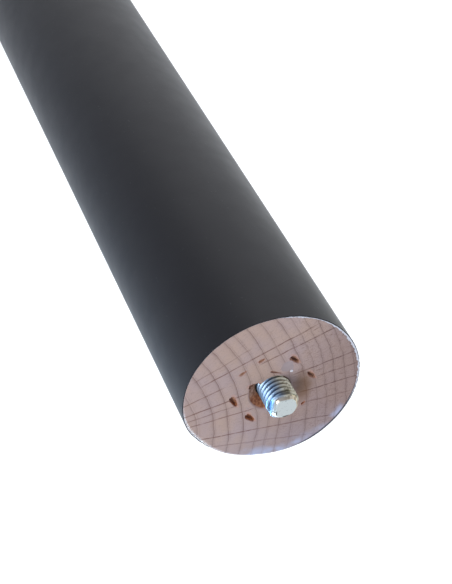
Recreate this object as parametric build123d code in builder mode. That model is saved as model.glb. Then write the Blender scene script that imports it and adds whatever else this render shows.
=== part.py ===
from build123d import *
import math
import os

# Turned beech furniture leg with a lacquered coat and a threaded stud at its mounting end.
# Millimetres, +Z up. The leg stands on its glide. The origin is the centre of the glide's
# underside, and the leg's axis is the Z axis. The raw mounting face looks up.

os.makedirs("parts", exist_ok=True)

# Driving dimensions
leg_diameter = 45.0  # over the lacquer
standing_height = 300.0  # from the floor to the raw mounting face
lacquer_thickness = 0.20
primer_thickness = 0.25
glide_height = 4.0
glide_diameter = 32.0
foot_chamfer = 2.0
face_edge_chamfer = 0.3

# Hanger bolt: M8 x 1.25 machine thread on one end, wood-screw thread on the other
bolt_length = 50.0
stud_projection = 7.2  # from the mounting face to the stud's tip
thread_major_radius = 4.0
thread_pitch = 1.25
thread_shank_radius = 3.59  # plain shank, the blank that the machine thread is rolled on
stud_tip_radius = 2.63
visible_crests = 5
top_crest_below_tip = 1.6
machine_end_length = 20.0
bore_clearance = 0.2
screw_root_radius = 2.85
screw_crest_radius = 3.8
screw_pitch = 2.6
screw_turns = 8
screw_crest_drop = 0.35  # from a ridge's top edge down to its crest, in pitches
screw_ridge_span = 0.7  # from a ridge's top edge down to its bottom edge, in pitches
screw_point_length = 6.0
pilot_clearance = 0.05
bore_shoulder_height = 1.0  # over which the bore narrows to the pilot hole
pilot_spare_depth = 1.0  # from the bolt's point down to the pilot hole's end

# Turning marks in the mounting face
centre_cone_radius = 6.2
dent_ring_radius = 9.7
dent_length = 3.0
dent_width = 1.2
dent_floor_length = 1.5
dent_floor_width = 0.24
deep_dent = 1.1
shallow_dent = 0.45
first_dent_angle = 8.0
dent_depths = [deep_dent, deep_dent, shallow_dent, shallow_dent] * 2

# Glide nail
nail_radius = 1.25
nail_bite = 0.05  # how far the nail's shank presses into the wood
nail_head_radius = 3.5
nail_head_thickness = 1.0
nail_head_recess = 1.4
nail_head_gap = 0.1
nail_length = 20.0
nail_point_length = 3.0
nail_hole_clearance = 0.05  # through the coats and the glide

# Glue in the centre cone: it fills the cone flush over this sector and leaves the rest open
glue_fill_start_angle = 81.0
glue_fill_arc = 240.0
glue_end_gap = 0.5  # from the bore's shoulder up to the glue sleeve's lower end
glue_overlap = 0.5  # how far the fill reaches down into the sleeve, so that they are one piece

# Glide edges
glide_floor_fillet = 1.0
glide_top_chamfer = 0.4

# Worked out from the above
outer_radius = leg_diameter / 2
primer_radius = outer_radius - lacquer_thickness
wood_radius = primer_radius - primer_thickness
foot_z = glide_height
face_z = standing_height
wood_foot_z = foot_z + lacquer_thickness + primer_thickness
stud_tip_z = face_z + stud_projection
bolt_end_z = stud_tip_z - bolt_length
machine_end_z = stud_tip_z - machine_end_length
shank_bore_radius = thread_major_radius + bore_clearance
pilot_radius = screw_root_radius + pilot_clearance
cone_depth = centre_cone_radius - shank_bore_radius  # the cone's sides slope at 45 degrees
cone_floor_z = face_z - cone_depth
nail_hole_radius = nail_radius + nail_hole_clearance
nail_top_z = nail_head_recess + nail_length

# ISO metric thread form: flat crests, flat roots and 60 degree flanks
crest_flat = thread_pitch / 8
root_flat = thread_pitch / 4
thread_depth = 5 / 8 * thread_pitch * math.sqrt(3) / 2
flank_run = (thread_pitch - crest_flat - root_flat) / 2


def thread_groove_points(crest_bottom_z):
    """The half-section of one groove below a crest whose lower edge is at crest_bottom_z."""
    root_radius = thread_major_radius - thread_depth
    root_top_z = crest_bottom_z - flank_run
    return [
        (thread_major_radius, crest_bottom_z),
        (root_radius, root_top_z),
        (root_radius, root_top_z - root_flat),
        (thread_major_radius, root_top_z - root_flat - flank_run),
    ]


def machine_thread_points():
    """The stud's half-section from its chamfered tip down past its last crest."""
    tip_chamfer = thread_major_radius - stud_tip_radius
    points = [(0, stud_tip_z), (stud_tip_radius, stud_tip_z)]
    points.append((thread_major_radius, stud_tip_z - tip_chamfer))
    for crest in range(visible_crests):
        crest_top_z = stud_tip_z - top_crest_below_tip - crest * thread_pitch
        points += thread_groove_points(crest_top_z - crest_flat)
    points[-1] = (thread_shank_radius, points[-2][1] - flank_run)
    return points


def wood_screw_points():
    """The half-section of the screw end, from its top down to its point."""
    points = []
    thread_bottom_z = bolt_end_z + screw_point_length
    thread_top_z = thread_bottom_z + screw_turns * screw_pitch
    for turn in range(screw_turns):
        top_z = thread_top_z - turn * screw_pitch
        points.append((screw_root_radius, top_z))
        points.append((screw_crest_radius, top_z - screw_pitch * screw_crest_drop))
        points.append((screw_root_radius, top_z - screw_pitch * screw_ridge_span))
    points.append((screw_root_radius, thread_bottom_z))
    points.append((0, bolt_end_z))
    return points


def chamfer_shift(thickness):
    """How far a 45 degree chamfer's corner moves along its face when the face is offset."""
    return thickness * math.tan(math.radians(45 / 2))


def coat_points(outside_offset, thickness):
    """The half-section of a coat on the body's side, foot chamfer and underside.

    outside_offset is how far the coat's outer surface lies inside the finished leg's surface.
    """
    points = []
    for offset in (outside_offset, outside_offset + thickness):
        radius = outer_radius - offset
        corner = foot_chamfer + chamfer_shift(offset)
        side = [
            (nail_hole_radius, foot_z + offset),
            (outer_radius - corner, foot_z + offset),
            (radius, foot_z + corner),
            (radius, face_z),
        ]
        points += side if offset == outside_offset else side[::-1]
    return points


# Beech body: a turned cylinder with a centre cone, a bolt hole and a nail hole
coat_thickness = lacquer_thickness + primer_thickness
core_section = [
    (nail_radius - nail_bite, wood_foot_z),
    (outer_radius - foot_chamfer - chamfer_shift(coat_thickness), wood_foot_z),
    (wood_radius, foot_z + foot_chamfer + chamfer_shift(coat_thickness)),
    (wood_radius, face_z - face_edge_chamfer),
    (wood_radius - face_edge_chamfer, face_z),
    (centre_cone_radius, face_z),
    (shank_bore_radius, cone_floor_z),
    (shank_bore_radius, machine_end_z),
    (pilot_radius, machine_end_z - bore_shoulder_height),
    (pilot_radius, bolt_end_z + screw_point_length),
    (0, bolt_end_z - pilot_spare_depth),
    (0, nail_top_z),
    (nail_radius - nail_bite, nail_top_z - nail_point_length),
]
with BuildPart() as leg_core:
    with BuildSketch(Plane.XZ):
        with BuildLine():
            Polyline(*core_section, close=True)
        make_face()
    revolve(axis=Axis.Z)
    # Eight wedge-shaped dents left by the lathe's toothed drive centre
    for index, depth in enumerate(dent_depths):
        angle = math.radians(first_dent_angle + index * 360 / len(dent_depths))
        outward = Vector(math.cos(angle), math.sin(angle), 0)
        dent_centre = outward * dent_ring_radius + Vector(0, 0, face_z)
        dent_mouth = Plane(origin=dent_centre, x_dir=outward, z_dir=(0, 0, 1))
        with BuildSketch(dent_mouth):
            Rectangle(dent_width, dent_length)
        with BuildSketch(dent_mouth.offset(-depth)):
            Rectangle(dent_floor_width, dent_floor_length)
        loft(mode=Mode.SUBTRACT)
leg_core.part.label = "leg_core"
export_step(leg_core.part, "parts/leg_core.step")

# Pale primer, a thin shell over the side, the foot chamfer and the underside
with BuildPart() as primer_coat:
    with BuildSketch(Plane.XZ):
        with BuildLine():
            Polyline(*coat_points(lacquer_thickness, primer_thickness), close=True)
        make_face()
    revolve(axis=Axis.Z)
primer_coat.part.label = "primer_coat"
export_step(primer_coat.part, "parts/primer_coat.step")

# Dark satin lacquer over the primer
with BuildPart() as lacquer_coat:
    with BuildSketch(Plane.XZ):
        with BuildLine():
            Polyline(*coat_points(0, lacquer_thickness), close=True)
        make_face()
    revolve(axis=Axis.Z)
lacquer_coat.part.label = "lacquer_coat"
export_step(lacquer_coat.part, "parts/lacquer_coat.step")

# Hanger bolt: machine thread, plain shank, screw thread and point, in one piece of steel
with BuildPart() as hanger_bolt:
    with BuildSketch(Plane.XZ):
        with BuildLine():
            Polyline(*machine_thread_points(), *wood_screw_points(), close=True)
        make_face()
    revolve(axis=Axis.Z)
hanger_bolt.part.label = "hanger_bolt"
export_step(hanger_bolt.part, "parts/hanger_bolt.step")

# Adhesive between the bolt's shank and the wood. It has filled most of the cone as well
glue_sleeve_section = [
    (thread_shank_radius, machine_end_z + glue_end_gap),
    (shank_bore_radius, machine_end_z + glue_end_gap),
    (shank_bore_radius, cone_floor_z),
    (thread_shank_radius, cone_floor_z),
]
glue_fill_section = [
    (thread_shank_radius, cone_floor_z - glue_overlap),
    (shank_bore_radius, cone_floor_z - glue_overlap),
    (shank_bore_radius, cone_floor_z),
    (centre_cone_radius, face_z),
    (thread_shank_radius, face_z),
]
fill_angle = math.radians(glue_fill_start_angle)
fill_plane = Plane(
    origin=(0, 0, 0),
    x_dir=(math.cos(fill_angle), math.sin(fill_angle), 0),
    z_dir=(math.sin(fill_angle), -math.cos(fill_angle), 0),
)
with BuildPart() as bolt_glue:
    with BuildSketch(Plane.XZ):
        with BuildLine():
            Polyline(*glue_sleeve_section, close=True)
        make_face()
    revolve(axis=Axis.Z)
    with BuildSketch(fill_plane):
        with BuildLine():
            Polyline(*glue_fill_section, close=True)
        make_face()
    revolve(axis=Axis.Z, revolution_arc=glue_fill_arc)
bolt_glue.part.label = "bolt_glue"
export_step(bolt_glue.part, "parts/bolt_glue.step")

# Moulded glide under the foot, with a recess that hides the nail's head
with BuildPart() as foot_glide:
    with BuildSketch():
        Circle(glide_diameter / 2)
    extrude(amount=glide_height)
    fillet(foot_glide.edges().sort_by(Axis.Z)[0], radius=glide_floor_fillet)
    chamfer(foot_glide.edges().sort_by(Axis.Z)[-1], length=glide_top_chamfer)
    with Locations(Plane.XY.rotated((180, 0, 0))):
        CounterBoreHole(nail_hole_radius, nail_head_radius + nail_head_gap, nail_head_recess)
foot_glide.part.label = "foot_glide"
export_step(foot_glide.part, "parts/foot_glide.step")

# Steel nail that holds the glide
nail_section = [
    (0, nail_head_recess - nail_head_thickness),
    (nail_head_radius, nail_head_recess - nail_head_thickness),
    (nail_head_radius, nail_head_recess),
    (nail_radius, nail_head_recess),
    (nail_radius, nail_top_z - nail_point_length),
    (0, nail_top_z),
]
with BuildPart() as glide_nail:
    with BuildSketch(Plane.XZ):
        with BuildLine():
            Polyline(*nail_section, close=True)
        make_face()
    revolve(axis=Axis.Z)
glide_nail.part.label = "glide_nail"
export_step(glide_nail.part, "parts/glide_nail.step")
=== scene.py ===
import math

import bmesh
import bpy
from mathutils import Euler, Matrix, Vector, noise


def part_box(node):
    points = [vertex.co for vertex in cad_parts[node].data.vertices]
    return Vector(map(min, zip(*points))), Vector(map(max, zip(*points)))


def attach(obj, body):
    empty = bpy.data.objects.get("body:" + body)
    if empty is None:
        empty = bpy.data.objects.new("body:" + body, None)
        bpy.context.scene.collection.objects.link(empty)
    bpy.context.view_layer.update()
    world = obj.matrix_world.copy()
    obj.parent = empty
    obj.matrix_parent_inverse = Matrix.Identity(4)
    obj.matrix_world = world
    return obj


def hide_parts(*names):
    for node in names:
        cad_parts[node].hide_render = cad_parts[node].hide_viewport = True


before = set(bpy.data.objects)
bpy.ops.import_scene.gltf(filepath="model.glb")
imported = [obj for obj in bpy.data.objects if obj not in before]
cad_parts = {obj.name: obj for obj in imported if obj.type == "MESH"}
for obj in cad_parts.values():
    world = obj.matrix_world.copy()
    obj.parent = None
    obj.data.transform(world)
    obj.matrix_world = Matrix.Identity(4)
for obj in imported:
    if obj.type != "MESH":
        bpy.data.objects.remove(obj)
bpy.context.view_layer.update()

MM = 0.001

# ---------------------------------------------------------------- sizes, from the frame
core_low, core_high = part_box("leg_core")
coat_low, coat_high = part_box("lacquer_coat")
bolt_low, bolt_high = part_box("hanger_bolt")
primer_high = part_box("primer_coat")[1]
nail_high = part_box("glide_nail")[1]

LEG_R = coat_high.x  # over the lacquer
PRIMER_R = primer_high.x
WOOD_R = core_high.x
FACE_Z = core_high.z
FOOT_Z = coat_low.z
STUD_TIP_Z = bolt_high.z
BOLT_END_Z = bolt_low.z

# Sizes that the frame's boxes don't give, in metres
THREAD_R = 4.0 * MM
THREAD_PITCH = 1.25 * MM
SHANK_R = 3.59 * MM
BORE_R = 4.2 * MM
PILOT_R = 2.9 * MM
CONE_R = 6.2 * MM
MACHINE_END_Z = STUD_TIP_Z - 20.0 * MM
SCREW_POINT = 6.0 * MM  # length of the wood screw's point
PILOT_SPARE = 1.0 * MM  # from the bolt's point down to the pilot hole's end
SHOULDER = 1.0 * MM  # over which the bore narrows to the pilot hole
FOOT_CHAMFER = 2.0 * MM
WOOD_CHAMFER = FOOT_CHAMFER + 0.19 * MM  # the wood's own chamfer, inside the coats
NAIL_R = 1.2 * MM
NAIL_POINT = 3.0 * MM
NAIL_HOLE_R = 1.3 * MM  # through the coats
CONE_FLOOR_Z = FACE_Z - (CONE_R - BORE_R)


# ---------------------------------------------------------------- small helpers
def clock_angle(hour):
    """The angle round +Z of an hour on the mounting face, as a reader who looks down at it from the
    camera's side sees it. Three o'clock is -X and six o'clock is +Y."""
    return math.radians(180 - (hour - 3) * 30)


def face_point(u, v):
    """A point on the mounting face in leg radii: u towards three o'clock, v towards six."""
    return -u * LEG_R, v * LEG_R


def smooth(edge0, edge1, x):
    """0 at edge0 and 1 at edge1, which may be the smaller one, with a smooth climb between."""
    t = min(max((x - edge0) / (edge1 - edge0), 0.0), 1.0)
    return t * t * (3 - 2 * t)


def angle_gap(a, b):
    return abs((a - b + math.pi) % (2 * math.pi) - math.pi)


def hump(angle, hour, half_hours):
    """1 at the given hour, falling smoothly to 0 half_hours away on each side."""
    gap = math.degrees(angle_gap(angle, clock_angle(hour))) / 30
    return 1 - smooth(0.0, half_hours, gap)


def wobble(angle, cycles, seed):
    """Smooth noise round the axis, about -1 to 1, that closes on itself."""
    r = cycles / (2 * math.pi)
    return noise.noise(Vector((r * math.cos(angle), r * math.sin(angle), seed)))


def new_object(name, verts, faces):
    mesh = bpy.data.meshes.new(name)
    mesh.from_pydata([tuple(v) for v in verts], [], faces)
    mesh.validate()
    obj = bpy.data.objects.new(name, mesh)
    bpy.context.scene.collection.objects.link(obj)
    return obj


def shade_smooth(obj, angle_deg):
    """Smooth shading with the edges sharper than angle_deg kept hard."""
    obj.data.shade_smooth()
    obj.data.set_sharp_from_angle(angle=math.radians(angle_deg))


def lathe(name, rows, segments, shape=None, closed=False):
    """A surface of revolution with one vertex ring per (radius, z) row. A row on the axis is one
    point. shape(row_index, angle, radius, z) may return a changed (radius, z)."""
    verts = []
    rings = []
    for index, (radius, z) in enumerate(rows):
        if radius == 0:
            rings.append([len(verts)])
            verts.append((0, 0, z))
            continue
        ring = []
        for s in range(segments):
            angle = 2 * math.pi * s / segments
            r, h = shape(index, angle, radius, z) if shape else (radius, z)
            ring.append(len(verts))
            verts.append((r * math.cos(angle), r * math.sin(angle), h))
        rings.append(ring)
    faces = []
    pairs = list(zip(rings, rings[1:]))
    if closed:
        pairs.append((rings[-1], rings[0]))
    for a, b in pairs:
        for s in range(segments):
            t = (s + 1) % segments
            if len(a) == 1:
                faces.append((a[0], b[t], b[s]))
            elif len(b) == 1:
                faces.append((a[s], a[t], b[0]))
            else:
                faces.append((a[s], a[t], b[t], b[s]))
    obj = new_object(name, verts, faces)
    bm = bmesh.new()
    bm.from_mesh(obj.data)
    bmesh.ops.recalc_face_normals(bm, faces=bm.faces)
    bm.to_mesh(obj.data)
    bm.free()
    return obj


def spread(start, end, count):
    """count values from start towards end, without end."""
    return [start + (end - start) * i / count for i in range(count)]


# ---------------------------------------------------------------- the mounting face's relief
# Each dent: u and v in leg radii, length and width in mm, turn in degrees from the u axis
# towards v, depth in mm. The blunt end comes first along the turn, the point last.
DENTS = [
    (-0.431, 0.055, 4.1, 1.55, 68, 1.2),
    (-0.247, 0.348, 3.7, 1.6, 50, 1.2),
    (0.245, -0.362, 3.5, 1.5, 50, 1.2),
    (0.442, -0.088, 3.4, 1.3, 52, 1.0),
    (-0.335, -0.330, 2.1, 0.8, -35, 0.75),
    (-0.128, -0.455, 1.9, 0.9, -30, 0.75),
    (0.360, 0.300, 1.5, 0.7, -45, 0.85),
    (0.100, 0.415, 1.3, 0.6, 20, 0.4),
]
# A splinter torn from the wood beside the stud, and the torn hole at the upper end of the cone
TEARS = [
    (0.030, -0.238, 3.1, 0.55, 27, 1.1),
    (-0.212, -0.112, 2.6, 1.5, -18, 2.4),
]
BRUISE_DEPTH = 0.07 * MM  # the pressed fibres beside a dent's sloping wall
DENTS_REACH = 11.9 * MM  # every dent lies inside this radius
TEARS_REACH = 8.5 * MM  # and every tear inside this one


def gouge_depth(x, y, gouge):
    """How deep one wedge-shaped gouge is at a point of the face, in metres. One long wall is
    steep and the other one slopes, as a driven tooth leaves them."""
    u, v, length, width, turn, depth = gouge
    centre_x, centre_y = face_point(u, v)
    du = -(x - centre_x)
    dv = y - centre_y
    a = math.radians(turn)
    along = (du * math.cos(a) + dv * math.sin(a)) / (length * MM / 2)
    across = (-du * math.sin(a) + dv * math.cos(a)) / (width * MM / 2)
    ragged = 0.16 * noise.noise(Vector((x, y, 0.3)) / (0.45 * MM))
    reach = math.hypot(along, across * (1.0 + 0.40 * along)) + ragged
    wall = smooth(0.0, 0.34, 1.0 - reach)
    slope = 0.45 + 0.55 * smooth(-0.9, 0.3, across)
    lip = smooth(0.0, 0.3, 1.5 - reach) * smooth(0.1, -0.4, across) * BRUISE_DEPTH
    return max(wall * slope * depth * MM, lip)


def cone_open(angle):
    """1 where the drive centre's cone is still open, 0 where the wood is whole up to the stud."""
    hour = (3 + (180 - math.degrees(angle)) / 30) % 12
    return smooth(6.2, 6.9, hour) * (1 - smooth(9.85, 10.2, hour))


# The end was sawn nearly two degrees off square: how much it climbs per metre of x and of y
CLIMB_X = -0.0295
CLIMB_Y = -0.0122


def cut_height(x, y):
    """Height of the sawn plane over the face's centre, in metres."""
    return CLIMB_X * x + CLIMB_Y * y


def face_height(x, y):
    """Height of the raw end grain relative to a square flat face, in metres."""
    h = cut_height(x, y) + 0.012 * MM * noise.noise(Vector((x, y, 0)) / (2.5 * MM))
    for gouge in DENTS:
        centre_x, centre_y = face_point(gouge[0], gouge[1])
        if math.hypot(x - centre_x, y - centre_y) < gouge[2] * MM:
            h -= gouge_depth(x, y, gouge)
    return h


def centre_height(x, y, angle):
    """The tears round the stud, and the fibres in the open side of the cone."""
    torn = sum(gouge_depth(x, y, tear) for tear in TEARS)
    fibres = noise.noise(Vector((x, y, 0.7)) / (0.8 * MM))
    return 0.07 * MM * fibres * cone_open(angle) - torn


def wood_edge(angle):
    """Radius of the raw wood's outline. Where it is small, a wider strip of primer shows."""
    strip = 0.46 * hump(angle, 2.3, 2.0) + 0.24 * hump(angle, 8.0, 1.1) + 0.22 * hump(angle, 12.5, 0.5)
    strip *= 1 + 0.9 * wobble(angle, 150, 1.0) + 0.6 * wobble(angle, 420, 2.0)
    return PRIMER_R - max(strip, 0.02) * MM


def rim_drop(angle):
    """How far the worn rim lies below the face, in metres. A knock has flattened it at seven."""
    knock = min(1.0, 1.5 * hump(angle, 7.1, 2.1))
    return (0.15 + 1.7 * knock + 0.05 * wobble(angle, 40, 5.0)) * MM


def edge_easing(angle):
    """Width of the rounded strip between the flat face and the worn rim, in metres."""
    return 0.15 * MM + 0.75 * rim_drop(angle)


def shape_body(index, angle, radius, z):
    """Turns the body's plain profile into worn end grain."""
    if index < FIRST_FACE_ROW or z < CONE_FLOOR_Z - 0.01 * MM:
        return radius, z
    edge = wood_edge(angle)
    radius *= 1 + (edge / WOOD_R - 1) * smooth(0.8, 1.0, radius / WOOD_R)
    x = radius * math.cos(angle)
    y = radius * math.sin(angle)
    h = face_height(x, y) - (FACE_Z - z) * cone_open(angle)
    easing = edge_easing(angle)
    inward = max(edge - radius, 0.0)
    if inward < easing:
        h -= rim_drop(angle) * (1 - math.sqrt(1 - (1 - inward / easing) ** 2))
    if radius < TEARS_REACH:
        h += centre_height(x, y, angle)
    return radius, FACE_Z + h


# The bolt's hole was drilled half a millimetre off the leg's axis
HOLE_SHIFT = Vector((*face_point(0.022, -0.012), 0))


def follow_hole(obj):
    """Moves what lies in and at the bolt's hole sideways with it."""
    for vertex in obj.data.vertices:
        radius = math.hypot(vertex.co.x, vertex.co.y)
        if vertex.co.z > FACE_Z / 2:
            vertex.co += HOLE_SHIFT * (1 - smooth(BORE_R, CONE_R - 0.3 * MM, radius))
    obj.data.update()


# ---------------------------------------------------------------- beech body
CONE_LIP_R = 6.5 * MM  # the face is flat outside this radius
RIM_BAND = 2.4 * MM  # the strip along the wood's edge that has the finest rows


def body_rows():
    """The body's profile from the nail's hole, over the foot, the side and the face, to the bore's
    end. The worn end grain starts at the row whose index comes second."""
    nail_top = nail_high.z
    foot = core_low.z
    rows = [(0, nail_top), (NAIL_R, nail_top - NAIL_POINT), (NAIL_R, foot)]
    rows += [(WOOD_R - WOOD_CHAMFER, foot), (WOOD_R, foot + WOOD_CHAMFER)]
    rows += [(WOOD_R, FACE_Z - 12 * MM), (WOOD_R, FACE_Z - 5 * MM)]
    first_face_row = len(rows)
    rim_inner = WOOD_R - RIM_BAND
    for start, end, count in (
        (WOOD_R, rim_inner, 22),
        (rim_inner, DENTS_REACH, 16),
        (DENTS_REACH, CONE_LIP_R, 46),
    ):
        rows += [(r, FACE_Z) for r in spread(start, end, count)]
    rows += [(CONE_LIP_R, FACE_Z), (CONE_R + 0.15 * MM, FACE_Z), (CONE_R, FACE_Z - 0.02 * MM)]
    rows += [(r, FACE_Z - (CONE_R - r)) for r in spread(CONE_R - 0.1 * MM, BORE_R, 20)]
    rows += [(BORE_R, CONE_FLOOR_Z), (BORE_R, MACHINE_END_Z), (PILOT_R, MACHINE_END_Z - SHOULDER)]
    rows += [(PILOT_R, BOLT_END_Z + SCREW_POINT), (0, BOLT_END_Z - PILOT_SPARE)]
    return rows, first_face_row


BODY_ROWS, FIRST_FACE_ROW = body_rows()
body = lathe("beech_body", BODY_ROWS, 576, shape_body)
follow_hole(body)
shade_smooth(body, 35)
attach(body, "root")
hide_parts("leg_core")


# ---------------------------------------------------------------- primer and lacquer
def coat_rows(outer, inner, top):
    """The closed section of a coat: up the outside, over the rim, and down the inside."""
    shift = math.tan(math.radians(22.5))
    rows = []
    for radius in (outer, inner):
        offset = LEG_R - radius
        corner = FOOT_CHAMFER + offset * shift
        side = [
            (NAIL_HOLE_R, FOOT_Z + offset),
            (LEG_R - corner, FOOT_Z + offset),
            (radius, FOOT_Z + corner),
        ]
        climb = [(radius, z) for z in spread(FOOT_Z + corner + 1 * MM, top - 10 * MM, 12)]
        rim = [(radius, top - below * MM) for below in (10, 8, 6, 4.5, 3, 1.8, 0.9, 0.4)]
        path = side + climb + rim + [(radius, top)]
        rows += path if radius == outer else path[::-1]
    return rows


def primer_burr(angle):
    """How far the primer's broken rim stands above the face, in metres."""
    lift = 0.12 * hump(angle, 2.3, 2.0) + 0.16 * hump(angle, 7.9, 1.2) + 0.18 * hump(angle, 12.5, 0.5)
    rough = 0.5 + 0.9 * wobble(angle, 230, 8.0) + 0.6 * wobble(angle, 520, 9.0)
    return max(lift * rough, -0.02) * MM


def lacquer_chip(angle):
    """How far the lacquer's broken rim stops below the face, in metres."""
    chips = 0.45 * hump(angle, 2.3, 2.0) + 0.25 * hump(angle, 7.9, 1.2) + 0.3 * hump(angle, 12.5, 0.6)
    rough = 0.35 + 1.1 * max(wobble(angle, 170, 12.0), -0.2) + 0.5 * wobble(angle, 420, 13.0)
    return max(chips * rough, 0.0) * MM


def rim_shift(angle, z, lift):
    """How far a coat's ring at height z moves, so that its rim follows the worn rim plus lift."""
    follow = smooth(FACE_Z - 9 * MM, FACE_Z, z)
    near_rim = smooth(FACE_Z - 1.3 * MM, FACE_Z, z)
    rim = cut_height(LEG_R * math.cos(angle), LEG_R * math.sin(angle)) - rim_drop(angle)
    return lift * near_rim + rim * follow


def shape_primer(index, angle, radius, z):
    """Brings the primer's inner wall in to the wood's edge at the rim, but for a hair's breadth."""
    near_rim = smooth(FACE_Z - 1.3 * MM, FACE_Z, z)
    if radius < PRIMER_R - 0.01 * MM and near_rim > 0:
        radius += (wood_edge(angle) - radius) * near_rim * 0.999
    return radius, z + rim_shift(angle, z, primer_burr(angle))


def shape_lacquer(index, angle, radius, z):
    return radius, z + rim_shift(angle, z, -lacquer_chip(angle))


primer = lathe("primer_film", coat_rows(PRIMER_R, WOOD_R, FACE_Z), 576, shape_primer, closed=True)
shade_smooth(primer, 40)
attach(primer, "root")
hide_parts("primer_coat")

lacquer = lathe("lacquer_film", coat_rows(LEG_R, PRIMER_R, FACE_Z), 576, shape_lacquer, closed=True)
shade_smooth(lacquer, 40)
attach(lacquer, "root")
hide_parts("lacquer_coat")


# ---------------------------------------------------------------- hanger bolt
CREST = THREAD_PITCH / 8
ROOT = THREAD_PITCH / 4
FLANK = (THREAD_PITCH - CREST - ROOT) / 2
THREAD_DEPTH = 5 / 8 * THREAD_PITCH * math.sqrt(3) / 2


def metric_profile(t):
    """Thread radius at t metres along one pitch, from the middle of a crest, with eased corners."""
    t = abs((t + THREAD_PITCH / 2) % THREAD_PITCH - THREAD_PITCH / 2)
    fall = smooth(CREST / 2 - 0.05 * MM, CREST / 2 + FLANK + 0.05 * MM, t)
    line = min(max((t - CREST / 2) / FLANK, 0.0), 1.0)
    return THREAD_R - THREAD_DEPTH * (0.7 * line + 0.3 * fall)


def helical_stack(turn_rows, bottom, top, pitch, radius_at, segments, name):
    """A tube whose rows follow a right-hand helix, so that its crests are clean edges."""
    step = pitch / turn_rows
    start = bottom - pitch - step
    count = int(math.ceil((top - start) / step)) + turn_rows + 2
    verts = []
    for i in range(count + 1):
        for s in range(segments):
            angle = 2 * math.pi * s / segments
            z = start + i * step + pitch * s / segments
            r = radius_at(i * step, z, angle)
            verts.append((r * math.cos(angle), r * math.sin(angle), z))
    faces = []
    for i in range(count - turn_rows):
        for s in range(segments):
            t = (s + 1) % segments
            up = turn_rows if t == 0 else 0
            a = i * segments + s
            b = (i + up) * segments + t
            faces.append((a, b, b + segments, a + segments))
    return new_object(name, verts, faces)


def trim(obj, point, normal):
    """Cuts away what lies beyond a plane and closes the cut."""
    bm = bmesh.new()
    bm.from_mesh(obj.data)
    geometry = bm.verts[:] + bm.edges[:] + bm.faces[:]
    cut = bmesh.ops.bisect_plane(
        bm, geom=geometry, plane_co=point, plane_no=normal, clear_outer=True, dist=1e-7
    )
    rim = [e for e in cut["geom_cut"] if isinstance(e, bmesh.types.BMEdge)]
    bmesh.ops.holes_fill(bm, edges=rim, sides=0)
    bmesh.ops.recalc_face_normals(bm, faces=bm.faces)
    bm.to_mesh(obj.data)
    bm.free()


TIP_R = 2.75 * MM


def machine_radius(t, z, angle):
    """The machine thread, running out into the shank below and under the tip's chamfer above."""
    r = metric_profile(t)
    tip_radius = TIP_R * (1 + 0.05 * wobble(angle, 9, 21.0) + 0.02 * wobble(angle, 30, 22.0))
    tip_radius -= 0.35 * MM * hump(angle, 9.2, 2.0)
    r = min(r, tip_radius + (STUD_TIP_Z - z) * 1.05)
    run_out = smooth(MACHINE_END_Z + 9 * MM, MACHINE_END_Z + 12 * MM, z)
    return SHANK_R + (r - SHANK_R) * run_out


machine_end = helical_stack(
    20, MACHINE_END_Z, STUD_TIP_Z, THREAD_PITCH, machine_radius, 128, "zinc_stud"
)
trim(machine_end, (0, 0, STUD_TIP_Z), (0.03, 0.02, 1))
trim(machine_end, (0, 0, MACHINE_END_Z), (0, 0, -1))
# Sheared corners of the tip: a point at the tip's edge, and the direction that each cut faces
TIP_CUTS = [(9.3, 2.35, 0.55), (12.1, 2.45, 0.5), (5.4, 2.6, 0.8), (2.6, 2.7, 0.7)]
for hour, reach, tilt in TIP_CUTS:
    a = clock_angle(hour)
    edge = Vector((math.cos(a), math.sin(a), 0))
    trim(machine_end, edge * reach * MM + Vector((0, 0, STUD_TIP_Z)), edge + Vector((0, 0, tilt)))
follow_hole(machine_end)
shade_smooth(machine_end, 38)
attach(machine_end, "root")

SCREW_PITCH = 2.6 * MM


def screw_radius(t, z, angle):
    """The wood-screw thread: a sharp ridge on a thinner root, tapering to the point."""
    ridge = max(0.0, 1 - abs((t / SCREW_PITCH) % 1.0 - 0.5) / 0.22)
    point = smooth(BOLT_END_Z, BOLT_END_Z + SCREW_POINT, z)
    shank = smooth(MACHINE_END_Z - 1.5 * MM, MACHINE_END_Z, z)
    root = 2.85 * MM * point + 0.02 * MM
    threaded = root + 0.95 * MM * ridge * point * (1 - shank)
    return threaded + (SHANK_R - threaded) * shank


screw_end = helical_stack(
    16, BOLT_END_Z, MACHINE_END_Z, SCREW_PITCH, screw_radius, 48, "zinc_screw_end"
)
trim(screw_end, (0, 0, MACHINE_END_Z), (0, 0, 1))
trim(screw_end, (0, 0, BOLT_END_Z), (0, 0, -1))
follow_hole(screw_end)
shade_smooth(screw_end, 38)
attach(screw_end, "root")
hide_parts("hanger_bolt")
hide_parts("hanger_bolt")


# ---------------------------------------------------------------- glue round the stud
GLUE_FOOT = MACHINE_END_Z + 0.5 * MM
GLUE_TOP = FACE_Z - 0.55 * MM
GAP_DEPTH = 1.6 * MM  # from the open cone's floor down to the glue


def glue_shape(index, angle, radius, z):
    """Lets the glue's top sink into the bolt's hole where the cone is open."""
    if z < GLUE_TOP - 0.3 * MM:
        return radius, z
    lump = 0.22 * wobble(angle, 7, 31.0) + 0.12 * wobble(angle, 22, 32.0)
    sink = (GLUE_TOP - CONE_FLOOR_Z + GAP_DEPTH) * cone_open(angle)
    return radius, z + lump * MM - sink


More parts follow.
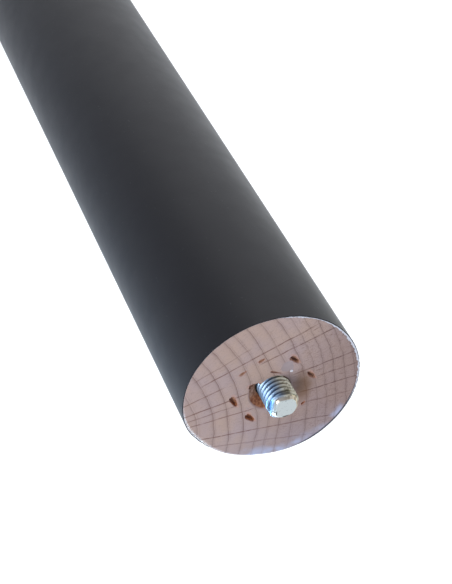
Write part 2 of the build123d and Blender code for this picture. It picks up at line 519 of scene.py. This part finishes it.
glue_rows = [
    (SHANK_R * 0.93, GLUE_FOOT),
    (BORE_R, GLUE_FOOT),
    (BORE_R, CONE_FLOOR_Z - GAP_DEPTH - 1 * MM),
    (BORE_R, GLUE_TOP - 0.1 * MM),
    (BORE_R - 0.15 * MM, GLUE_TOP - 0.14 * MM),
    (BORE_R - 0.4 * MM, GLUE_TOP - 0.05 * MM),
    (SHANK_R * 0.93, GLUE_TOP),
]
glue = lathe("dried_glue", glue_rows, 160, glue_shape, closed=True)
follow_hole(glue)
shade_smooth(glue, 60)
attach(glue, "root")
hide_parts("bolt_glue")


def film_shape(index, angle, radius, z):
    """Gives the film an uneven outline."""
    return radius * (1 + 0.30 * wobble(angle, 5, 41.0) + 0.10 * wobble(angle, 14, 42.0)), z


def glue_film(name, u, v, radius, height):
    """A thin dome of dried glue on the face beside the stud."""
    rows = [(0, FACE_Z + height)]
    for share in (0.2, 0.4, 0.6, 0.75, 0.87, 0.95, 1.0):
        rows.append((radius * share, FACE_Z - 0.05 * MM + (height + 0.05 * MM) * (1 - share**4)))
    rows.append((0, FACE_Z - 0.05 * MM))
    film = lathe(name, rows, 96, film_shape)
    film.data.transform(Matrix.Translation((*face_point(u, v), 0)))
    for vertex in film.data.vertices:
        vertex.co.z += cut_height(vertex.co.x, vertex.co.y)
    shade_smooth(film, 60)
    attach(film, "root")
    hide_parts("bolt_glue")
    return film


films = [
    glue_film("glue_smear", 0.155, -0.295, 1.9 * MM, 0.05 * MM),
    glue_film("glue_drop", 0.203, -0.225, 0.5 * MM, 0.28 * MM),
]


# ---------------------------------------------------------------- material helpers
class Nodes:
    """Short calls for building one material's node tree."""

    def __init__(self, name):
        self.material = bpy.data.materials.new(name)
        self.material.use_nodes = True
        self.tree = self.material.node_tree
        self.shader = self.tree.nodes["Principled BSDF"]
        self.place = self.add("ShaderNodeTexCoord").outputs["Object"]
        axes = self.add("ShaderNodeSeparateXYZ", {"Vector": self.place})
        self.x, self.y, self.z = axes.outputs

    def add(self, kind, inputs=None, **settings):
        node = self.tree.nodes.new(kind)
        for key, value in settings.items():
            setattr(node, key, value)
        for key, value in (inputs or {}).items():
            self.join(node.inputs[key], value)
        return node

    def join(self, socket, value):
        if isinstance(value, bpy.types.NodeSocket):
            self.tree.links.new(value, socket)
        else:
            socket.default_value = value

    def math(self, operation, a, b=0.0, c=0.0):
        node = self.add("ShaderNodeMath", operation=operation)
        for socket, value in zip(node.inputs, (a, b, c)):
            self.join(socket, value)
        return node.outputs[0]

    def ramp(self, value, low, high, out_low=0.0, out_high=1.0):
        """value mapped from low..high to out_low..out_high, smoothly, and held outside."""
        inputs = {"Value": value, "From Min": low, "From Max": high}
        inputs.update({"To Min": out_low, "To Max": out_high})
        return self.add("ShaderNodeMapRange", inputs, interpolation_type="SMOOTHSTEP").outputs[0]

    def noise(self, size, detail=2.0, rough=0.5, place=None, stretch=None):
        """Noise with features about size metres across, 0 to 1."""
        vector = place or self.place
        if stretch:
            mapping = self.add("ShaderNodeMapping", {"Vector": vector, "Scale": stretch})
            vector = mapping.outputs[0]
        inputs = {"Vector": vector, "Scale": 1 / size, "Detail": detail, "Roughness": rough}
        return self.add("ShaderNodeTexNoise", inputs).outputs["Fac"]

    def mix(self, factor, a, b, blend="MIX"):
        node = self.add("ShaderNodeMix", data_type="RGBA", blend_type=blend)
        self.join(node.inputs["Factor"], factor)
        self.join(node.inputs[6], a)
        self.join(node.inputs[7], b)
        return node.outputs[2]

    def bump(self, height, distance, strength=1.0, normal=None):
        inputs = {"Height": height, "Distance": distance, "Strength": strength}
        node = self.add("ShaderNodeBump", inputs)
        if normal:
            self.join(node.inputs["Normal"], normal)
        return node.outputs[0]

    def axis_distance(self, centre=(0.0, 0.0)):
        """Distance from the upright axis through centre, which is the leg's own axis if not given."""
        off_x = self.math("POWER", self.math("SUBTRACT", self.x, centre[0]), 2.0)
        off_y = self.math("POWER", self.math("SUBTRACT", self.y, centre[1]), 2.0)
        return self.math("SQRT", self.math("ADD", off_x, off_y))

    def bolt_offset(self, hour):
        """Distance from the bolt's axis in a clock direction, negative on the far side."""
        off_x = self.math("SUBTRACT", self.x, HOLE_SHIFT.x)
        off_y = self.math("SUBTRACT", self.y, HOLE_SHIFT.y)
        along_x = self.math("MULTIPLY", off_x, math.cos(clock_angle(hour)))
        along_y = self.math("MULTIPLY", off_y, math.sin(clock_angle(hour)))
        return self.math("ADD", along_x, along_y)

    def depth(self):
        """How far a point lies below the sawn face."""
        climb_x = self.math("MULTIPLY", self.x, CLIMB_X)
        climb_y = self.math("MULTIPLY", self.y, CLIMB_Y)
        face = self.math("ADD", self.math("ADD", climb_x, climb_y), FACE_Z)
        return self.math("SUBTRACT", face, self.z)

    def finish(self, **sockets):
        for key, value in sockets.items():
            self.join(self.shader.inputs[key.replace("_", " ")], value)
        return self.material


def rgb(red, green, blue):
    """A linear colour from the 0 to 255 numbers that a screen shows."""
    def linear(c):
        c /= 255
        return c / 12.92 if c <= 0.04045 else ((c + 0.055) / 1.055) ** 2.4

    return (linear(red), linear(green), linear(blue), 1.0)


def dress(obj, material):
    obj.data.materials.clear()
    obj.data.materials.append(material)


# ---------------------------------------------------------------- beech end grain
# The tree's centre lies outside the leg, in leg radii from its axis
PITH_U = -2.45
PITH_V = 0.42
# Growth-ring boundaries as distances from the tree's centre, in leg radii
RINGS = [1.47, 1.62, 1.80, 1.965, 2.13, 2.29, 2.41, 2.545, 2.70, 2.86, 2.985, 3.09, 3.20, 3.32, 3.43]
# Broad rays: angle at the tree's centre in radians, first and last distance in leg radii, strength
RAYS = [
    (-0.455, 1.7, 2.5, 0.5),
    (-0.395, 1.75, 3.2, 1.0),
    (-0.345, 2.40, 3.45, 1.0),
    (-0.308, 1.4, 2.05, 0.8),
    (-0.212, 2.70, 3.55, 1.0),
    (-0.203, 1.4, 2.30, 1.0),
    (-0.160, 2.95, 3.55, 0.9),
    (-0.150, 1.4, 2.15, 0.7),
    (-0.105, 2.70, 3.50, 1.0),
    (-0.093, 1.4, 2.30, 0.8),
    (-0.045, 2.80, 3.40, 0.8),
    (0.050, 1.55, 3.2, 1.0),
    (0.130, 1.7, 3.2, 0.6),
]


RAY_HALF_WIDTH = 0.28 * MM
RAY_FADE = 0.12  # over which a ray fades at each end, in leg radii


def ring_marks(n, length):
    """The dark line at each growth ring's boundary, and the darker late wood inside it. length is
    the distance from the tree's centre."""
    drift = n.math("MULTIPLY", n.math("SUBTRACT", n.noise(9 * MM, 1.0), 0.5), 1.1 * MM)
    jag = n.ramp(n.x, 0.2 * LEG_R, -0.6 * LEG_R, 0.35 * MM, 0.8 * MM)
    shiver = n.math("MULTIPLY", n.math("SUBTRACT", n.noise(1.6 * MM, 2.0), 0.5), jag)
    distance = n.math("ADD", length, n.math("ADD", drift, shiver))

    # s climbs from 0 to 1 across each growth ring and drops back at its boundary
    low, high = RINGS[0] - 0.2, RINGS[-1] + 0.2
    inputs = {"Value": distance, "From Min": low * LEG_R, "From Max": high * LEG_R}
    scaled = n.add("ShaderNodeMapRange", inputs).outputs[0]
    ramp = n.add("ShaderNodeValToRGB", {"Fac": scaled})
    stops = ramp.color_ramp.elements
    stops[0].position = 0.0
    stops[1].position = 1.0
    stops[1].color = (0.5, 0.5, 0.5, 1)
    for ring in RINGS:
        place = (ring - low) / (high - low)
        stops.new(place - 0.0008).color = (1, 1, 1, 1)
        stops.new(place + 0.0008).color = (0, 0, 0, 1)
    s = ramp.outputs["Color"]
    before = n.math("POWER", s, 15.0)
    after = n.math("MULTIPLY", n.math("POWER", n.math("SUBTRACT", 1.0, s), 20.0), 0.6)
    breaks = n.ramp(n.noise(3.5 * MM, 2.0), 0.25, 0.55, 0.5, 1.0)
    line = n.math("MULTIPLY", n.math("MAXIMUM", before, after), breaks)
    late_wood = n.math("POWER", s, 4.0)
    return line, late_wood


def ray_marks(n, length, angle):
    """The broad rays: dark lines away from the tree's centre, with faint stretches in them."""
    waver = n.math("MULTIPLY", n.math("SUBTRACT", n.noise(5 * MM, 1.0), 0.5), 0.010)
    swing = n.math("ADD", angle, waver)
    rays = 0.0
    for ray_angle, first, last, strength in RAYS:
        off = n.math("ABSOLUTE", n.math("SUBTRACT", swing, ray_angle))
        mark = n.ramp(n.math("MULTIPLY", off, length), 0.0, RAY_HALF_WIDTH, strength, 0.0)
        start = n.ramp(length, first * LEG_R, (first + RAY_FADE) * LEG_R)
        stop = n.ramp(length, (last - RAY_FADE) * LEG_R, last * LEG_R, 1.0, 0.0)
        mark = n.math("MULTIPLY", mark, n.math("MULTIPLY", start, stop))
        rays = n.math("MAXIMUM", rays, mark)
    breaks = n.ramp(n.noise(1.2 * MM, 2.0), 0.3, 0.6, 0.45, 1.0)
    return n.math("MULTIPLY", rays, breaks)


def fine_rays(n, length, angle):
    """Short dark flecks along the radius, 2.4 mm long and 0.2 mm wide at the leg's axis."""
    polar = n.add("ShaderNodeCombineXYZ")
    n.join(polar.inputs[0], n.math("DIVIDE", length, 2.4 * MM))
    n.join(polar.inputs[1], n.math("MULTIPLY", angle, -PITH_U * LEG_R / (0.20 * MM)))
    inputs = {"Vector": polar.outputs[0], "Scale": 1.0, "Detail": 2.0}
    return n.ramp(n.add("ShaderNodeTexNoise", inputs).outputs["Fac"], 0.60, 0.74)


def overspray_and_reflection(n, marks):
    """How much pale bluish white lies on the face: a veil on the lower half, thicker at the edge below
    the stud and in one patch on the lower right, and less of it over the dark marks. It is partly
    primer overspray and partly a painted reflection of bluish light on the lower face."""
    veil = n.ramp(n.y, 0.30 * LEG_R, 0.85 * LEG_R, 0.0, 0.12)
    near_edge = n.ramp(n.axis_distance(), 0.76 * LEG_R, 0.94 * LEG_R)
    low_side = n.ramp(n.y, 0.62 * LEG_R, 0.84 * LEG_R)
    fades_left = n.ramp(n.x, 0.26 * LEG_R, 0.46 * LEG_R, 1.0, 0.0)
    spray = n.math("MULTIPLY", near_edge, n.math("MULTIPLY", low_side, fades_left))
    patch_x, patch_y = face_point(0.80, 0.58)
    off_x = n.math("ABSOLUTE", n.math("SUBTRACT", n.x, patch_x))
    off_y = n.math("ABSOLUTE", n.math("SUBTRACT", n.y, patch_y))
    patch = n.ramp(n.math("ADD", off_x, off_y), 1.0 * MM, 4.5 * MM, 0.9, 0.0)
    spray = n.math("MAXIMUM", spray, n.math("MULTIPLY", patch, near_edge))
    cloud = n.ramp(n.noise(3.5 * MM, 2.0), 0.30, 0.65, 0.25, 1.0)
    spray = n.math("MAXIMUM", n.math("MULTIPLY", spray, cloud), veil)
    cover = n.math("SUBTRACT", 1.0, n.math("MULTIPLY", marks, 0.6))
    return n.math("MULTIPLY", spray, cover)


def glue_stain_and_shade(n):
    """How much glue and dust has soaked in on the stud's right side. The brown patch is also painted
    shade that stands in for the stud's soft shadow.
    """
    stain_x, stain_y = face_point(0.340, 0.05)
    off_x = n.math("POWER", n.math("SUBTRACT", n.x, stain_x), 2.0)
    off_y = n.math("POWER", n.math("MULTIPLY", n.math("SUBTRACT", n.y, stain_y), 0.5), 2.0)
    off = n.math("SQRT", n.math("ADD", off_x, off_y))
    off = n.math("ADD", off, n.math("MULTIPLY", n.noise(1.5 * MM, 2.0), 1.4 * MM))
    return n.ramp(off, 1.4 * MM, 4.4 * MM, 0.72, 0.0)


def rolled_lacquer(n):
    """How much lacquer has rolled over the edge on the lower right."""
    uneven = n.math("ADD", n.axis_distance(), n.math("MULTIPLY", n.noise(MM), 0.1 * MM))
    rolled = n.ramp(uneven, WOOD_R - 0.28 * MM, WOOD_R - 0.12 * MM)
    right_side = n.ramp(n.x, 0.10 * LEG_R, -0.20 * LEG_R)
    below_middle = n.ramp(n.y, 0.05 * LEG_R, 0.25 * LEG_R)
    rolled = n.math("MULTIPLY", rolled, n.math("MULTIPLY", right_side, below_middle))
    return n.math("MULTIPLY", rolled, 0.85)


def colour_below_face(n, grain):
    """Pale pink at the rim of each dent: bruised fibres, with painted light on the slopes that face
    the key. Brown fibres lie deeper down and in the cone, and painted shade lies in the deep tears and
    the bore.
    """
    radius = n.axis_distance()
    depth = n.depth()
    inside = n.ramp(radius, 0.86 * LEG_R, 0.9 * LEG_R, 1.0, 0.0)
    # Pale pink in shallow dents: bruised fibres, and painted light on the slopes facing the key
    bruise_and_lit_slope = n.math("MULTIPLY", n.ramp(depth, 0.02 * MM, 0.08 * MM), inside)
    grain = n.mix(n.math("MULTIPLY", bruise_and_lit_slope, 0.65), grain, rgb(208, 166, 152))
    fibres = n.ramp(n.noise(0.7 * MM, 3.0), 0.35, 0.65)
    tan = n.mix(fibres, rgb(206, 166, 142), rgb(160, 118, 94))
    orange = n.mix(fibres, rgb(196, 132, 92), rgb(146, 90, 60))
    lower = n.ramp(n.y, 0.01 * LEG_R, 0.11 * LEG_R)
    crushed = n.math("MULTIPLY", n.ramp(depth, 0.15 * MM, 0.40 * MM), inside)
    grain = n.mix(crushed, grain, n.mix(lower, tan, orange))
    # Dark brown in the deep tears and holes: painted shade
    beyond_cone = n.ramp(radius, CONE_R, CONE_R + MM, 0.0, 0.6)
    right_of_cone = n.ramp(n.x, 0.8 * MM, -0.2 * MM, 0.0, 0.8)
    pit_shade_places = n.math("MAXIMUM", beyond_cone, right_of_cone)
    pit_shade = n.math("MULTIPLY", n.ramp(depth, 0.6 * MM, 1.1 * MM), pit_shade_places)
    grain = n.mix(pit_shade, grain, rgb(90, 60, 52))
    # Near black deep down in the bore: painted shade
    return n.mix(n.ramp(depth, 1.9 * MM, 2.5 * MM, 0.0, 0.9), grain, rgb(40, 28, 26))


def beech_material():
    n = Nodes("raw_beech_end_grain")
    pith_x, pith_y = face_point(PITH_U, PITH_V)
    across = n.math("SUBTRACT", pith_x, n.x)
    down = n.math("SUBTRACT", n.y, pith_y)
    angle = n.math("ARCTAN2", down, across)
    length = n.axis_distance((pith_x, pith_y))
    line, late_wood = ring_marks(n, length)
    rays = ray_marks(n, length, angle)
    flecks = fine_rays(n, length, angle)
    pores = n.ramp(n.noise(0.16 * MM, 1.0), 0.55, 0.75)

    # Sanding scratches run in one direction across the whole face
    turned = n.add("ShaderNodeMapping", {"Vector": n.place, "Rotation": (0, 0, math.radians(38))})
    scratches = n.noise(0.22 * MM, 2.0, 0.6, place=turned.outputs[0], stretch=(1, 0.035, 1))

    # The bare wood, darker towards the lower right, with stronger marks towards the right
    mottle = n.ramp(n.noise(7 * MM, 3.0), 0.3, 0.7)
    grain = n.mix(mottle, rgb(202, 175, 160), rgb(195, 173, 170))
    to_lower_right = n.math("SUBTRACT", n.math("MULTIPLY", n.y, 0.5), n.x)
    darker = n.ramp(to_lower_right, -0.3 * LEG_R, 0.8 * LEG_R, 0.0, 0.7)
    grain = n.mix(darker, grain, rgb(158, 134, 128))
    grain = n.mix(n.math("MULTIPLY", late_wood, 0.28), grain, rgb(150, 126, 120))
    to_right = n.ramp(n.x, 0.1 * LEG_R, -0.6 * LEG_R)
    fleck_strength = n.ramp(to_right, 0.0, 1.0, 0.45, 0.95)
    pore_strength = n.ramp(to_right, 0.0, 1.0, 0.40, 0.85)
    line_tone = n.mix(to_right, rgb(110, 78, 71), rgb(84, 52, 46))
    ray_tone = n.mix(to_right, rgb(112, 70, 58), rgb(90, 50, 42))
    grain = n.mix(n.math("MULTIPLY", flecks, fleck_strength), grain, rgb(122, 92, 84))
    grain = n.mix(n.math("MULTIPLY", pores, pore_strength), grain, rgb(118, 92, 84))
    grain = n.mix(n.math("MULTIPLY", line, 0.95), grain, line_tone)
    grain = n.mix(n.math("MULTIPLY", rays, 0.92), grain, ray_tone)
    grain = n.mix(n.ramp(scratches, 0.35, 0.65, 0.0, 0.12), grain, rgb(206, 190, 184))

    # What lies on the wood, and what has been pressed or cut into it, with painted reflection and
    # shade among the marks
    marks = n.math("MAXIMUM", line, n.math("MULTIPLY", rays, 0.8))
    # Pale bluish coat on the lower face: primer overspray, and painted reflection
    grain = n.mix(overspray_and_reflection(n, marks), grain, rgb(196, 203, 230))
    # Brown patch right of the stud: glue stain, and painted shade of the stud
    grain = n.mix(glue_stain_and_shade(n), grain, rgb(134, 98, 64))
    grain = n.mix(rolled_lacquer(n), grain, rgb(64, 66, 76))
    grain = colour_below_face(n, grain)

    relief = n.math("ADD", n.math("MULTIPLY", line, -0.5), n.math("MULTIPLY", rays, -0.3))
    relief = n.math("ADD", relief, n.math("MULTIPLY", flecks, -0.25))
    relief = n.math("ADD", relief, n.math("MULTIPLY", scratches, 0.9))
    normal = n.bump(relief, 0.02 * MM, 0.6)
    rough = n.ramp(scratches, 0.3, 0.7, 0.52, 0.72)
    return n.finish(Base_Color=grain, Roughness=rough, Normal=normal, Specular_IOR_Level=0.35)


# ---------------------------------------------------------------- coats
def lacquer_material():
    n = Nodes("anthracite_lacquer")
    peel = n.noise(1.1 * MM, 2.0)
    fine = n.noise(0.25 * MM, 2.0)
    along = n.noise(3.0 * MM, 2.0, stretch=(1, 1, 0.04))
    nibs = n.ramp(n.noise(0.7 * MM, 0.0), 0.80, 0.86)
    tone = n.mix(n.noise(14 * MM, 3.0), rgb(20, 18, 25), rgb(22, 20, 27))
    tone = n.mix(n.math("MULTIPLY", nibs, 0.25), tone, rgb(66, 66, 70))
    height = n.math("ADD", n.math("MULTIPLY", peel, 1.0), n.math("MULTIPLY", fine, 0.25))
    height = n.math("ADD", height, n.math("MULTIPLY", along, 0.3))
    height = n.math("ADD", height, n.math("MULTIPLY", nibs, 1.4))
    normal = n.bump(height, 0.010 * MM, 0.7)
    rough = n.ramp(n.noise(6 * MM, 3.0), 0.3, 0.7, 0.38, 0.42)
    return n.finish(Base_Color=tone, Roughness=rough, Normal=normal, Specular_IOR_Level=0.36)


def primer_material():
    n = Nodes("pale_primer")
    tone = n.mix(n.noise(0.6 * MM, 3.0), rgb(214, 219, 230), rgb(244, 246, 252))
    normal = n.bump(n.noise(0.2 * MM, 3.0), 0.03 * MM, 0.6)
    return n.finish(Base_Color=tone, Roughness=0.5, Normal=normal)


# ---------------------------------------------------------------- metal, glue and glide
def tip_seam(n):
    """The dark seam between the stud's flat end and its first sheared corner."""
    hour, reach = TIP_CUTS[0][:2]
    past_edge = n.math("SUBTRACT", n.bolt_offset(hour), reach * MM)
    seam = n.ramp(past_edge, -0.50 * MM, -0.30 * MM)
    return n.math("MULTIPLY", seam, n.ramp(n.y, -0.2 * MM, 0.8 * MM))


def tip_burr_shade(n):
    """Painted shade along the burr on the edge of the stud's end, just short of six o'clock."""
    past_flat = n.ramp(n.bolt_offset(5.9), 2.30 * MM, 2.48 * MM)
    near_end = n.ramp(n.z, STUD_TIP_Z - 0.55 * MM, STUD_TIP_Z - 0.4 * MM)
    sideways = n.math("ABSOLUTE", n.bolt_offset(8.9))
    short = n.ramp(sideways, 0.6 * MM, 1.0 * MM, 0.85, 0.0)
    return n.math("MULTIPLY", n.math("MULTIPLY", past_flat, near_end), short)


def zinc_material():
    n = Nodes("clear_zinc_plating")

    # Painted reflections: blue of the cool lamps on the left flank and yellow of the warm lamp on the
    # right one, darker smudges on the right flank only, and a pale painted highlight towards the end
    side = n.math("ADD", n.x, n.math("MULTIPLY", n.noise(2.5 * MM, 2.0), 1.5 * MM))
    blue = n.ramp(side, -1.0 * MM, 2.4 * MM)
    tint = n.mix(blue, rgb(222, 216, 190), rgb(168, 198, 228))
    # Pale band just below the end: painted highlight on the chamfer
    near_end = n.ramp(n.z, STUD_TIP_Z - 1.3 * MM, STUD_TIP_Z - 0.6 * MM, 0.0, 0.75)
    tint = n.mix(near_end, tint, rgb(236, 218, 190))
    smudges = n.ramp(n.noise(1.3 * MM, 2.0), 0.48, 0.62, 0.0, 0.6)
    right_flank_smudges = n.math("MULTIPLY", smudges, n.math("SUBTRACT", 1.0, blue))
    tint = n.mix(right_flank_smudges, tint, rgb(112, 102, 84))

    # Painted shade in the thread's roots, dark blue on the cool side and dark olive on the warm one
    radius = n.axis_distance(HOLE_SHIFT)
    root = n.ramp(radius, 3.36 * MM, 3.74 * MM, 1.0, 0.0)
    below_end = n.ramp(n.z, STUD_TIP_Z - 1.5 * MM, STUD_TIP_Z - 1.2 * MM, 1.0, 0.0)
    root_shade = n.math("MULTIPLY", n.math("MULTIPLY", root, below_end), 0.85)
    tint = n.mix(root_shade, tint, n.mix(blue, rgb(84, 78, 62), rgb(62, 92, 134)))

    # The dull, pitted flat end
    end = n.ramp(n.z, STUD_TIP_Z - 0.18 * MM, STUD_TIP_Z - 0.13 * MM)
    pits = n.ramp(n.noise(0.35 * MM, 2.0), 0.66, 0.74)
    end_tone = n.mix(n.math("MULTIPLY", pits, 0.75), rgb(230, 238, 233), rgb(92, 98, 92))
    end_tone = n.mix(n.math("MULTIPLY", tip_seam(n), 0.9), end_tone, rgb(50, 60, 58))
    tint = n.mix(end, tint, end_tone)
    # Painted shade of the burr at the end's edge
    tint = n.mix(tip_burr_shade(n), tint, rgb(58, 62, 56))

    grain = n.noise(0.12 * MM, 3.0)
    rough = n.ramp(grain, 0.3, 0.7, 0.34, 0.48)
    rough = n.math("ADD", rough, n.math("MULTIPLY", end, 0.25))
    metal = n.math("SUBTRACT", 1.0, n.math("MULTIPLY", end, 0.7))
    height = n.math("ADD", grain, n.math("MULTIPLY", n.math("MULTIPLY", pits, end), -2.0))
    normal = n.bump(height, 0.012 * MM, 0.6)
    return n.finish(Base_Color=tint, Roughness=rough, Metallic=metal, Normal=normal)


def glue_material():
    n = Nodes("dried_wood_glue")
    tone = n.mix(n.noise(0.7 * MM, 3.0), rgb(122, 84, 56), rgb(176, 136, 98))
    normal = n.bump(n.noise(0.3 * MM, 2.0), 0.05 * MM, 0.7)
    return n.finish(Base_Color=tone, Roughness=0.42, Normal=normal)


def film_material():
    """Glue thin enough for the wood to show through it, with a painted white highlight where it stands
    up in a drop.
    """
    n = Nodes("clear_glue_film")
    tone = n.mix(n.noise(1.5 * MM, 2.0), rgb(172, 156, 156), rgb(184, 168, 169))
    # White on the raised drop: painted highlight
    drop_glint = n.ramp(n.depth(), -0.08 * MM, -0.2 * MM)
    tone = n.mix(drop_glint, tone, rgb(240, 240, 246))
    normal = n.bump(n.noise(0.8 * MM, 1.0), 0.02 * MM, 0.4)
    return n.finish(Base_Color=tone, Roughness=0.22, Normal=normal)


def glide_material():
    n = Nodes("moulded_glide_plastic")
    tone = n.mix(n.noise(5 * MM, 2.0), rgb(38, 38, 40), rgb(50, 50, 52))
    scuffs = n.noise(0.3 * MM, 2.0, stretch=(1, 0.1, 1))
    spark = n.noise(0.18 * MM, 2.0)
    normal = n.bump(n.math("ADD", spark, scuffs), 0.02 * MM, 0.6)
    rough = n.ramp(scuffs, 0.3, 0.7, 0.42, 0.6)
    return n.finish(Base_Color=tone, Roughness=rough, Normal=normal)


def nail_material():
    n = Nodes("bright_nail_steel")
    rings = n.noise(0.25 * MM, 2.0)
    tone = n.mix(rings, rgb(150, 150, 150), rgb(190, 190, 188))
    normal = n.bump(rings, 0.02 * MM, 0.5)
    return n.finish(Base_Color=tone, Roughness=0.35, Metallic=1.0, Normal=normal)


dress(body, beech_material())
dress(primer, primer_material())
dress(lacquer, lacquer_material())
zinc = zinc_material()
dress(machine_end, zinc)
dress(screw_end, zinc)
dress(glue, glue_material())
for film in films:
    dress(film, film_material())
for node, material in (("foot_glide", glide_material()), ("glide_nail", nail_material())):
    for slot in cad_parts[node].material_slots:
        slot.material = material


# ---------------------------------------------------------------- stage, lights and camera
def floor_material():
    """A pale floor whose band beside the leg glows by itself, painted light with no lamp under it,
    which whitens the floor and shines in the lacquer.
    """
    n = Nodes("pale_floor")
    tone = n.mix(n.noise(0.4, 2.0), rgb(214, 214, 214), rgb(218, 218, 218))
    beside_leg = n.ramp(n.x, 0.18, -0.06, 0.0, 0.62)
    near_or_behind = n.math("MAXIMUM", n.ramp(n.x, -0.32, -0.20, 0.3, 1.0), n.ramp(n.y, 0.06, 0.16))
    # Painted glow: the floor shines here with no lamp
    glow = n.math("MULTIPLY", beside_leg, near_or_behind)
    return n.finish(
        Base_Color=tone,
        Roughness=0.9,
        Specular_IOR_Level=0.1,
        Emission_Color=(1.0, 1.0, 1.0, 1.0),
        Emission_Strength=glow,
    )


FLOOR_HALF = 12.0
corners = [(-1, -1), (1, -1), (1, 1), (-1, 1)]
corners = [(x * FLOOR_HALF, y * FLOOR_HALF, 0) for x, y in corners]
floor = new_object("studio_floor", corners, [(0, 1, 2, 3)])
dress(floor, floor_material())


def area_light(name, place, aim, size, watts, colour):
    data = bpy.data.lights.new(name, "AREA")
    data.shape = "DISK"
    data.size = size
    data.energy = watts
    data.color = colour
    lamp = bpy.data.objects.new(name, data)
    bpy.context.scene.collection.objects.link(lamp)
    lamp.location = place
    lamp.rotation_mode = "QUATERNION"
    lamp.rotation_quaternion = (Vector(place) - Vector(aim)).to_track_quat("Z", "Y")
    return lamp


face_centre = (0, 0, FACE_Z)
leg_middle = (0, 0, FACE_Z / 2)
area_light("cool_key", (0.75, -0.05, FACE_Z + 0.95), face_centre, 0.8, 7.3, (1.0, 0.99, 0.98))
area_light("cool_edge", (0.35, 0.85, 0.14), leg_middle, 0.3, 6.4, (0.62, 0.86, 1.0))
area_light("blue_edge", (0.95, 0.55, 0.10), leg_middle, 0.3, 6.6, (0.38, 0.64, 1.0))
area_light("warm_side", (-0.95, 0.05, 0.05), leg_middle, 0.35, 4.4, (1.0, 0.99, 0.70))

# The studio's walls: bright on the side of the leg away from the key, and dark on the key's side
world = bpy.data.worlds.new("studio_world")
world.use_nodes = True
world_tree = world.node_tree
background = world_tree.nodes["Background"]
direction = world_tree.nodes.new("ShaderNodeTexCoord").outputs["Generated"]
wall_axes = world_tree.nodes.new("ShaderNodeSeparateXYZ")
world_tree.links.new(direction, wall_axes.inputs[0])
wall_ramp = world_tree.nodes.new("ShaderNodeValToRGB")
wall_side = world_tree.nodes.new("ShaderNodeMapRange")
wall_side.inputs["From Min"].default_value = -1.0
world_tree.links.new(wall_axes.outputs["X"], wall_side.inputs["Value"])
world_tree.links.new(wall_side.outputs[0], wall_ramp.inputs[0])
wall_ramp.color_ramp.elements[0].color = (0.84, 0.89, 1.04, 1.0)
wall_ramp.color_ramp.elements[1].color = (0.13, 0.15, 0.18, 1.0)
world_tree.links.new(wall_ramp.outputs[0], background.inputs["Color"])
background.inputs["Strength"].default_value = 0.8
bpy.context.scene.world = world
bpy.context.scene.view_settings.view_transform = "Standard"

# The camera stands in front of the leg, to its right and above, turned over so that the leg runs
# from the picture's upper left to its lower right.
CAMERA_PLACE = Vector((4.2665, -10.473, 10.346)) * LEG_R + Vector(face_centre)
CAMERA_TURN = Euler([math.radians(d) for d in (-39.225, -19.870, 180.0)], "XYZ")
camera_data = bpy.data.cameras.new("photo_camera")
camera_data.sensor_width = 36.0
camera_data.lens = 88.55
camera_data.clip_start = 0.01
camera = bpy.data.objects.new("photo_camera", camera_data)
bpy.context.scene.collection.objects.link(camera)
camera.location = CAMERA_PLACE
camera.rotation_euler = CAMERA_TURN
bpy.context.scene.camera = camera
